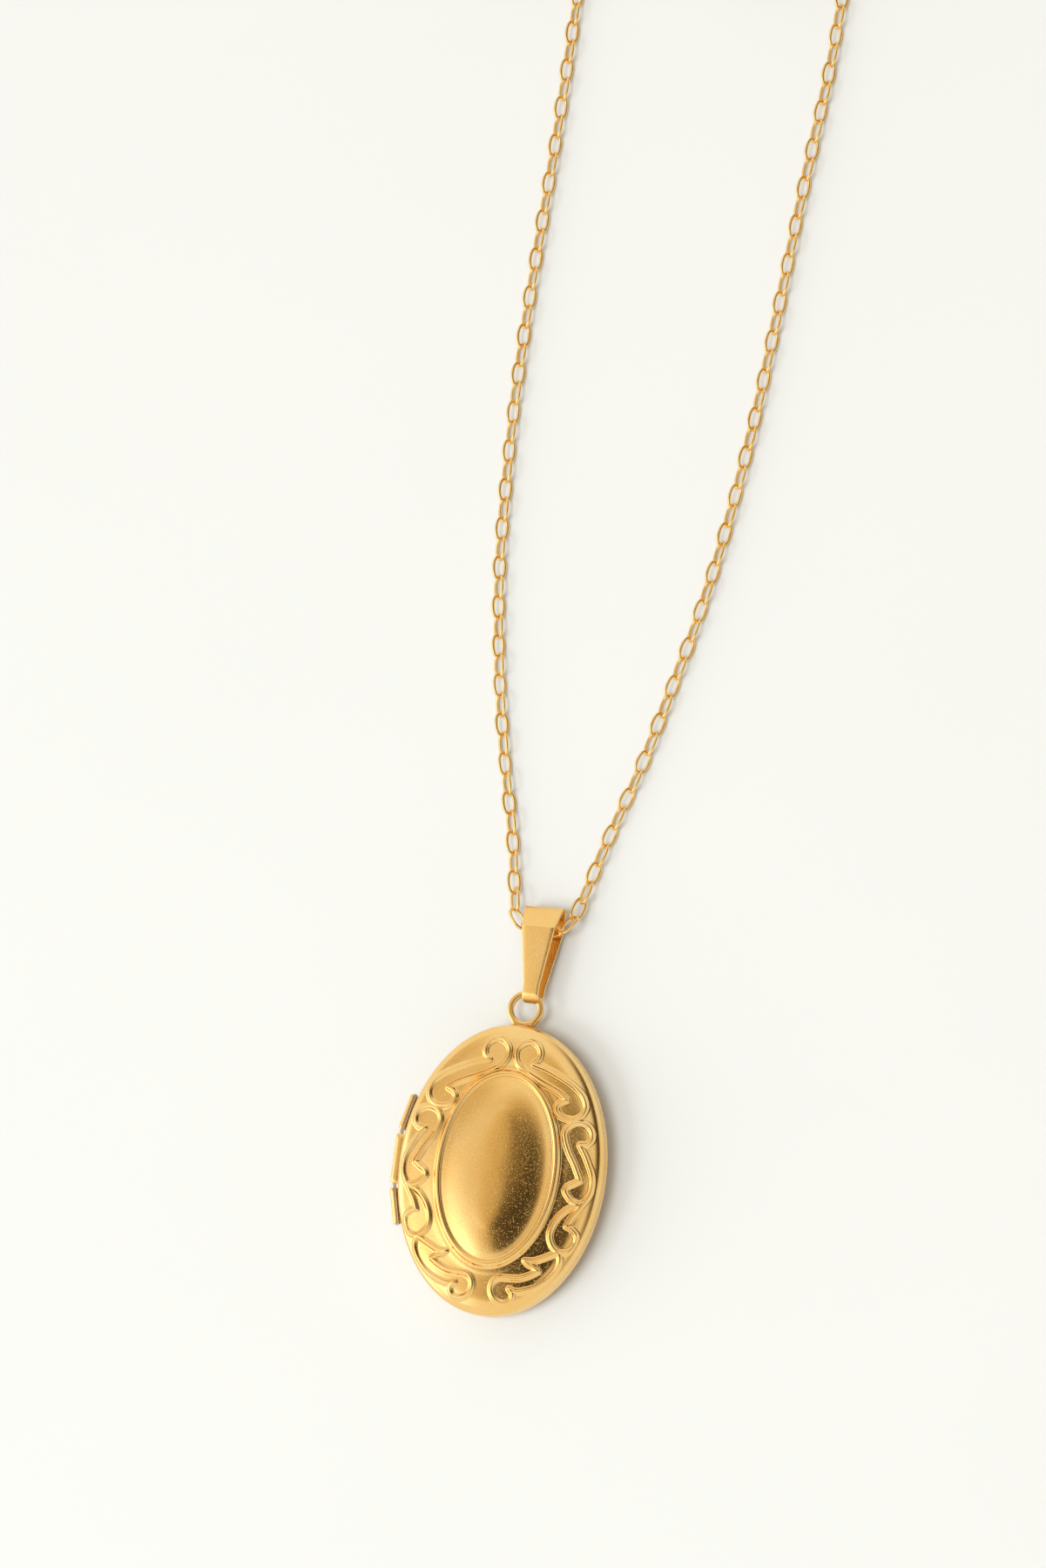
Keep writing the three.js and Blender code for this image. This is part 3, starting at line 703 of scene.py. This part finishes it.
def bar_radii(lengths, radius, easing):
    """The radius at each distance along a bar whose two ends are rounded over."""
    nearest = np.minimum(lengths, lengths[-1] - lengths)
    share = np.clip(nearest / easing, 0, 1)
    return radius * np.sqrt(np.clip(1 - (1 - share) ** 2 * 0.75, 0, 1))


def hinge_pin(material):
    """A wire bent twice, to run through all three barrels."""
    reach = BARREL_GAP + BARREL_OUTER_LENGTH + 0.14
    corners = []
    for side in (-1, 1):
        end = (HINGE_X + reach * math.sin(LEAN), side * (BEND_Y + reach * math.cos(LEAN)), PART_LINE)
        bend = (HINGE_X, side * BEND_Y, PART_LINE)
        corners.append((end, bend))
    path = [corners[0][0], corners[0][1], corners[1][1], corners[1][0]]
    dense = evenly(np.array(path, float), 160)
    lengths = distances_along(dense)
    ease = bar_radii(lengths, PIN_RADIUS, 0.08)
    return round_bar("pin_wire", dense, PIN_RADIUS, material, radii=ease)


def outer_barrel_middle(side):
    along = BARREL_GAP + BARREL_OUTER_LENGTH / 2
    return (HINGE_X + along * math.sin(LEAN), side * (BEND_Y + along * math.cos(LEAN)), PART_LINE)


# ---------------------------------------------------------------- eye and bail

def eye_reach(angle):
    """How far the eye's outside is from its centre: the ring, then the neck to the covers."""
    neck_half = 1.0
    foot_y = HALF_LENGTH + 0.03 - EYE_CENTRE[1]
    down = np.array([math.cos(angle), math.sin(angle)])
    start = math.radians(-42)
    if down[1] > math.sin(start):
        return EYE_OUTER
    corner = np.array([EYE_OUTER * math.cos(start), EYE_OUTER * math.sin(start)])
    foot = np.array([neck_half, foot_y])
    ray = np.array([abs(down[0]), down[1]])
    run = foot - corner
    across = ray[0] * run[1] - ray[1] * run[0]
    side_hit = (corner[0] * run[1] - corner[1] * run[0]) / across if abs(across) > 1e-9 else 1e9
    foot_hit = foot_y / ray[1]
    return min(side_hit if side_hit > 0 else 1e9, foot_hit)


def ring_eye(material):
    """The flat ring and its neck, with every edge eased."""
    sides = 160
    half = EYE_THICKNESS / 2
    ease = 0.17
    points = []
    for angle in np.linspace(0, 2 * math.pi, sides, endpoint=False):
        outer = eye_reach(angle)
        section = []
        for corner_r, corner_z, begin in (
            (outer - ease, half - ease, 0),
            (EYE_INNER + ease, half - ease, 90),
            (EYE_INNER + ease, ease - half, 180),
            (outer - ease, ease - half, 270),
        ):
            for turn in np.radians(np.linspace(begin, begin + 90, 5)):
                section.append((corner_r + ease * math.cos(turn), corner_z + ease * math.sin(turn)))
        section.insert(5, ((outer + EYE_INNER) / 2, half))
        for radius, height in section:
            points.append((radius * math.cos(angle), radius * math.sin(angle), height))
    count = len(points) // sides
    faces = grid_faces(sides, count, True, True)
    return make_piece("ring_eye", np.array(points) + EYE_CENTRE, faces, material)


def tangent_angle(centre_at, radius, point):
    """The direction of the normal of the line that leaves a circle to pass a point."""
    run = point[0] - centre_at
    turn = math.acos(radius / math.hypot(run, point[1]))
    return math.atan2(point[1], run) + (turn if run > 0 else -turn)


def straight(start, goal, steps):
    """Points from a start to a goal, both among them."""
    return start + (goal - start) * np.linspace(0, 1, steps + 1)[:, None]


def bail_loop(inset):
    """The ribbon's fold seen from its side, as (along, depth): end roll, leaves and top roll."""
    top_at = BAIL_TOP - BAIL_TOP_RADIUS
    leaf = tangent_angle(0, BAIL_EYE_RADIUS, BAIL_CREASE)
    facet = tangent_angle(top_at, BAIL_TOP_RADIUS, BAIL_CREASE)
    leaf_reach = BAIL_EYE_RADIUS - inset
    facet_reach = BAIL_TOP_RADIUS - inset + top_at * math.cos(facet)
    across = math.sin(facet - leaf)
    along = (leaf_reach * math.sin(facet) - facet_reach * math.sin(leaf)) / across
    depth = (facet_reach * math.cos(leaf) - leaf_reach * math.cos(facet)) / across
    end_turn = np.linspace(leaf, 2 * math.pi - leaf, 33)
    top_turn = np.linspace(-facet, facet, 21)
    end = np.stack([np.cos(end_turn), np.sin(end_turn)], axis=1) * (BAIL_EYE_RADIUS - inset)
    top = np.stack([np.cos(top_turn), np.sin(top_turn)], axis=1) * (BAIL_TOP_RADIUS - inset)
    top[:, 0] += top_at
    low = np.array((along, -depth))
    high = np.array((along, depth))
    return np.vstack([
        end,
        straight(end[-1], low, LEAF_STEPS)[1:],
        straight(low, top[0], FACET_STEPS)[1:-1],
        top,
        straight(top[-1], high, FACET_STEPS)[1:],
        straight(high, end[0], LEAF_STEPS)[1:-1],
    ])


def bail_half_width(along):
    return np.interp(along, [0.6, BAIL_CREASE[0], BAIL_TOP], [0.77, 1.6, 1.9])


def folded_bail(material):
    """A tapered ribbon folded into a loop, with one sharp crease on each leaf."""
    outer = bail_loop(0.0)
    inner = bail_loop(BAIL_SHEET)
    ease = 0.07
    half = bail_half_width(outer[:, 0])
    rows = []
    steps = np.linspace(-1, 1, 9)
    for k in range(len(outer)):
        out_point, in_point = outer[k], inner[k]
        inward = (in_point - out_point) / BAIL_SHEET
        loop = []
        for step in steps:
            loop.append((step * (half[k] - ease), out_point + inward * 0.012 * step * step))
        loop.append((half[k] - 0.3 * ease, out_point + inward * 0.45 * ease))
        loop.append((half[k], out_point + inward * ease * 1.1))
        loop.append((half[k], in_point - inward * ease * 1.1))
        loop.append((half[k] - 0.3 * ease, in_point - inward * 0.45 * ease))
        for step in steps[::-1]:
            loop.append((step * (half[k] - ease), in_point))
        loop.append((-half[k] + 0.3 * ease, in_point - inward * 0.45 * ease))
        loop.append((-half[k], in_point - inward * ease * 1.1))
        loop.append((-half[k], out_point + inward * ease * 1.1))
        loop.append((-half[k] + 0.3 * ease, out_point + inward * 0.45 * ease))
        rows.extend((x, place[0], place[1]) for x, place in loop)
    count = len(rows) // len(outer)
    turns = {key: math.radians(angle) for key, angle in BAIL_TURNS.items()}
    turned = (Matrix.Rotation(turns["yaw"], 3, "Z") @ Matrix.Rotation(turns["pitch"], 3, "X")
              @ Matrix.Rotation(turns["roll"], 3, "Y"))
    points = np.array(rows) @ np.array(turned).T + BAIL_PIVOT
    faces = grid_faces(len(outer), count, True, True)
    return make_piece("folded_bail", points, faces, material, crease=24.0)


# ---------------------------------------------------------------- fittings

def wire_ring(name, middle, radius, wire, flat, tilt, split, material):
    """A ring of round wire, flat or upright, and cut through if it is a jump ring."""
    gap = 0.07 / radius if split else 0.0
    begin = math.radians(35)
    turn = np.linspace(begin + gap / 2, begin + 2 * math.pi - gap / 2, 96, endpoint=split)
    path = np.stack([radius * np.cos(turn), radius * np.sin(turn), np.zeros(len(turn))], axis=1)
    if not flat:
        path = path[:, [0, 2, 1]]
    path[:, 2] += (radius - path[:, 1]) * math.tan(tilt)
    radii = np.full(len(turn), wire)
    if split:
        radii[[0, -1]] = wire * 0.85
    path = path + np.asarray(middle)
    return round_bar(name, path, wire, material, closed=not split, radii=radii)


def cast_copy(name, node, voxel, material):
    """The CAD piece again with every corner eased, as on a casting that has been tumbled."""
    piece = bpy.data.objects.new(name + "_source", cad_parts[node].data.copy())
    bpy.context.scene.collection.objects.link(piece)
    remesh = piece.modifiers.new("remesh", "REMESH")
    remesh.mode = "VOXEL"
    remesh.voxel_size = voxel * MM
    ease = piece.modifiers.new("ease", "SMOOTH")
    ease.factor = 0.5
    ease.iterations = 6
    graph = bpy.context.evaluated_depsgraph_get()
    mesh = bpy.data.meshes.new_from_object(piece.evaluated_get(graph))
    bpy.data.objects.remove(piece)
    mesh.name = name
    mesh.materials.clear()
    mesh.materials.append(material)
    mesh.shade_smooth()
    made = bpy.data.objects.new(name, mesh)
    bpy.context.scene.collection.objects.link(made)
    return made


def domed_rivet(material):
    """The lever's rivet, with a low dome on each head."""
    low, high = (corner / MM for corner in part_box("clasp_rivet"))
    middle = (low + high) / 2
    radius = (high.x - low.x) / 2
    half = (high.z - low.z) / 2
    sides = 32
    profile = [(0.45 * radius, -half - 0.02), (0.8 * radius, -half + 0.02), (radius, -half + 0.1),
               (radius, half - 0.1), (0.8 * radius, half - 0.02), (0.45 * radius, half + 0.02)]
    turn = np.linspace(0, 2 * math.pi, sides, endpoint=False)
    points = [(r * math.cos(a) + middle.x, r * math.sin(a) + middle.y, z + middle.z)
              for a in turn for r, z in profile]
    count = len(profile)
    faces = grid_faces(sides, count, True, False)
    points += [(middle.x, middle.y, middle.z - half - 0.03), (middle.x, middle.y, middle.z + half + 0.03)]
    for k in range(sides):
        here, there = k * count, (k + 1) % sides * count
        faces.append([sides * count, there, here])
        faces.append([sides * count + 1, here + count - 1, there + count - 1])
    return make_piece("domed_rivet", points, faces, material, crease=40.0)


def leaf_spring(material):
    """The bowed leaf that pushes the lever shut."""
    low, high = (np.array(corner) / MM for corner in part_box("clasp_spring"))
    share = np.linspace(0, 1, 13)
    bow = 0.04 * np.sin(math.pi * share)
    x_mid = (low[0] + high[0]) / 2
    half = 0.05
    rows = []
    for s, b in zip(share, bow):
        y = low[1] + (high[1] - low[1]) * s
        for dx, z in ((-half, low[2]), (half, low[2]), (half, high[2]), (-half, high[2])):
            rows.append((x_mid + b + dx, y, z))
    faces = grid_faces(len(share), 4, False, True)
    faces.append([3, 2, 1, 0])
    last = len(rows) - 4
    faces.append([last, last + 1, last + 2, last + 3])
    return make_piece("leaf_spring", rows, faces, material, crease=30.0)


# ---------------------------------------------------------------- floor and light

def make_floor():
    """A plain pale table top."""
    half = 1.6
    mesh = bpy.data.meshes.new("table_top")
    corners = [(-half, -half, 0), (half, -half, 0), (half, half, 0), (-half, half, 0)]
    mesh.from_pydata(corners, [], [(0, 1, 2, 3)])
    nodes = Nodes("table_top")
    nodes.shader.inputs["Roughness"].default_value = 0.9
    nodes.shader.inputs["Specular IOR Level"].default_value = 0.2
    nodes.coloured(nodes.noise(30.0, 2.0), (0.650, 0.655, 0.650), (0.662, 0.667, 0.662))
    mesh.materials.append(nodes.material)
    table = bpy.data.objects.new("table_top", mesh)
    bpy.context.scene.collection.objects.link(table)


def area_light(name, direction, distance, size, power, colour):
    """A rectangular soft light that faces the locket from a direction."""
    data = bpy.data.lights.new(name, "AREA")
    data.shape = "RECTANGLE"
    data.size, data.size_y = size
    data.energy = power
    data.color = colour
    light = bpy.data.objects.new(name, data)
    away = Vector(direction).normalized()
    light.location = away * distance
    light.rotation_mode = "QUATERNION"
    light.rotation_quaternion = away.to_track_quat("Z", "Y")
    light.visible_glossy = False
    bpy.context.scene.collection.objects.link(light)


class Room:
    """The world's colours by direction: a plain wash, with soft patches laid over it."""

    def __init__(self, left, right):
        world = bpy.data.worlds.new("room")
        world.use_nodes = True
        bpy.context.scene.world = world
        self.tree = world.node_tree
        self.direction = self.tree.nodes.new("ShaderNodeTexCoord").outputs["Generated"]
        apart = self.tree.nodes.new("ShaderNodeSeparateXYZ")
        self.tree.links.new(self.direction, apart.inputs["Vector"])
        self.colour = None
        self.mix(self.softened(apart.outputs["X"], -1.0, 1.0), left, right)

    def softened(self, value, low, high):
        node = self.tree.nodes.new("ShaderNodeMapRange")
        node.interpolation_type = "SMOOTHSTEP"
        node.inputs["From Min"].default_value = low
        node.inputs["From Max"].default_value = high
        self.tree.links.new(value, node.inputs["Value"])
        return node.outputs["Result"]

    def mix(self, factor, under, over):
        node = self.tree.nodes.new("ShaderNodeMix")
        node.data_type = "RGBA"
        if self.colour:
            self.tree.links.new(self.colour, node.inputs["A"])
        else:
            node.inputs["A"].default_value = (*under, 1.0)
        node.inputs["B"].default_value = (*over, 1.0)
        self.tree.links.new(factor, node.inputs["Factor"])
        self.colour = node.outputs["Result"]

    def patch(self, direction, stretch, inner, outer, colour):
        """Colour about a direction: whole inside one radius, faded out at another."""
        away = self.tree.nodes.new("ShaderNodeVectorMath")
        away.operation = "SUBTRACT"
        away.inputs[1].default_value = Vector(direction).normalized()
        self.tree.links.new(self.direction, away.inputs[0])
        shaped = self.tree.nodes.new("ShaderNodeVectorMath")
        shaped.operation = "MULTIPLY"
        shaped.inputs[1].default_value = stretch
        self.tree.links.new(away.outputs["Vector"], shaped.inputs[0])
        radius = self.tree.nodes.new("ShaderNodeVectorMath")
        radius.operation = "LENGTH"
        self.tree.links.new(shaped.outputs["Vector"], radius.inputs[0])
        inverse = self.tree.nodes.new("ShaderNodeMath")
        inverse.operation = "MULTIPLY"
        inverse.inputs[1].default_value = -1.0
        self.tree.links.new(radius.outputs["Value"], inverse.inputs[0])
        self.mix(self.softened(inverse.outputs["Value"], -outer, -inner), None, colour)

    def finish(self):
        self.tree.links.new(self.colour, self.tree.nodes["Background"].inputs["Color"])


def room_light():
    """A bright room, a soft box at the left, and a dim patch of ceiling that the gold shows."""
    room = Room((1.03, 0.99, 0.925), (0.945, 0.895, 0.815))
    room.patch((0.72, 0.36, 0.59), (1, 0.7, 1.5), 0.22, 0.84, (0.10, 0.065, 0.025))
    room.patch((-0.60, 0.25, 0.76), (1, 1, 1), 0.10, 0.38, (0.72, 0.58, 0.38))
    room.patch((-0.53, -0.27, 0.80), (1, 0.6, 1), 0.06, 0.26, (2.1, 2.03, 1.9))
    room.patch((-0.92, -0.25, 0.30), (1, 1, 1), 0.20, 0.55, (2.5, 2.42, 2.3))
    room.patch((-0.12, 0.00, 0.99), (1, 0.9, 1), 0.17, 0.38, (0.77, 0.575, 0.29))
    room.patch((-0.085, -0.05, 0.99), (1, 0.65, 1), 0.10, 0.225, (0.02, 0.011, 0.002))
    room.finish()


# ---------------------------------------------------------------- the necklace

def build_chain(plate):
    middle = len(BIGHT_ROUTE) // 2
    left = chain_path(BIGHT_ROUTE[middle::-1], LEFT_ROUTE, COIL_LEFT, TAIL_LEFT_ROUTE, LEFT_END)
    right = chain_path(BIGHT_ROUTE[middle:], RIGHT_ROUTE, COIL_RIGHT, TAIL_RIGHT_ROUTE, RIGHT_END)
    left_links = link_chain("links_left", left, *LEFT_TURNS, plate)
    right_links = link_chain("links_right", right, *RIGHT_TURNS, plate)
    settle(left_links, "chain", "gold_chain",
           "chain_bight", "chain_left", "chain_coil_left", "chain_tail_left")
    settle(right_links, "chain", "gold_chain", "chain_right", "chain_coil_right", "chain_tail_right")
    return (left_links, left), (right_links, right)


def build_covers(satin, bright, clear, card):
    settle(back_cover(satin), "locket_back", "gold_plate", "back_cover")
    settle(front_cover(satin), "locket_front", "gold_plate", "front_cover")
    settle(snap_band(bright), "locket_front", "gold_plate", "snap_rim")
    for side, body, card_z, window_z, lip, facing in (
        ("back", "locket_back", (1.14, 1.34), (1.40, 1.56), 1.87, 1),
        ("front", "locket_front", (3.62, 3.82), (3.43, 3.58), 3.15, -1),
    ):
        plate = rounded_plate(side + "_card", 1.65, *card_z, 0.03, card)
        settle(plate, body, "card", side + "_photo_card")
        pane = rounded_plate(side + "_window", 1.42, *window_z, 0.04, clear)
        settle(pane, body, "window", side + "_photo_window")
        hoop = photo_frame(side + "_frame", lip, facing, bright)
        settle(hoop, body, "gold_plate", side + "_photo_frame")


def build_hinge(bright, wire):
    for word, side in (("upper", 1), ("lower", -1)):
        barrel = rolled_barrel("barrel_" + word, outer_barrel_middle(side), -side * LEAN,
                               BARREL_OUTER_LENGTH, False, 88, bright)
        settle(barrel, "locket_back", "gold_plate", "hinge_knuckle_" + word)
    middle = rolled_barrel("barrel_middle", (HINGE_X, 0, PART_LINE), 0.0,
                           BARREL_MIDDLE_LENGTH, True, 20, bright)
    settle(middle, "locket_front", "gold_plate", "hinge_knuckle_middle")
    settle(hinge_pin(wire), "locket_back", "bare_steel", "hinge_pin")


def build_fittings(bright, wire):
    jump = wire_ring("jump_ring", JUMP_RING["centre"], JUMP_RING["radius"], JUMP_RING["wire"],
                     False, 0.0, True, bright)
    end = wire_ring("closed_ring", END_RING["centre"], END_RING["radius"], END_RING["wire"],
                    True, math.radians(5.0), False, bright)
    settle(jump, "clasp_ring", "gold_plate", "clasp_jump_ring")
    settle(end, "chain_end", "gold_plate", "end_ring")
    body = cast_copy("clasp_hook", "clasp_body", 0.11, bright)
    lever = cast_copy("clasp_gate_lever", "clasp_lever", 0.07, bright)
    settle(body, "clasp", "gold_plate", "clasp_body")
    settle(lever, "clasp_gate", "gold_plate", "clasp_lever")
    settle(domed_rivet(wire), "clasp", "bare_steel", "clasp_rivet")
    settle(leaf_spring(wire), "clasp", "bare_steel", "clasp_spring")
    return [jump, body, lever], [end]


def main():
    make_camera()
    satin = gold("gold_satin", 0.155, 1.0)
    bright = gold("gold_bright", 0.2, 0.5, wear=0.6)
    plate = gold("gold_chain", 0.17, 0.4, wear=0.4)
    brushed = gold("gold_brushed", 0.25, 1.0, brushed=0)
    wire = steel()
    (left_links, left), (right_links, right) = build_chain(plate)
    build_covers(satin, bright, clear_plastic(), card_stock())
    build_hinge(bright, wire)
    settle(ring_eye(bright), "locket_back", "gold_plate", "bail_eye")
    settle(folded_bail(brushed), "bail_loop", "gold_plate", "bail")
    on_left, on_right = build_fittings(bright, wire)
    make_floor()
    room_light()
    area_light("key", (-0.50, -0.42, 0.80), 0.80, (0.26, 0.26), 1.4, (0.88, 0.97, 1.0))
    area_light("fill", (-0.10, -0.12, 0.98), 0.90, (0.30, 0.30), 4.1, (0.93, 0.985, 1.0))
    bpy.context.scene.view_settings.view_transform = "Standard"


main()
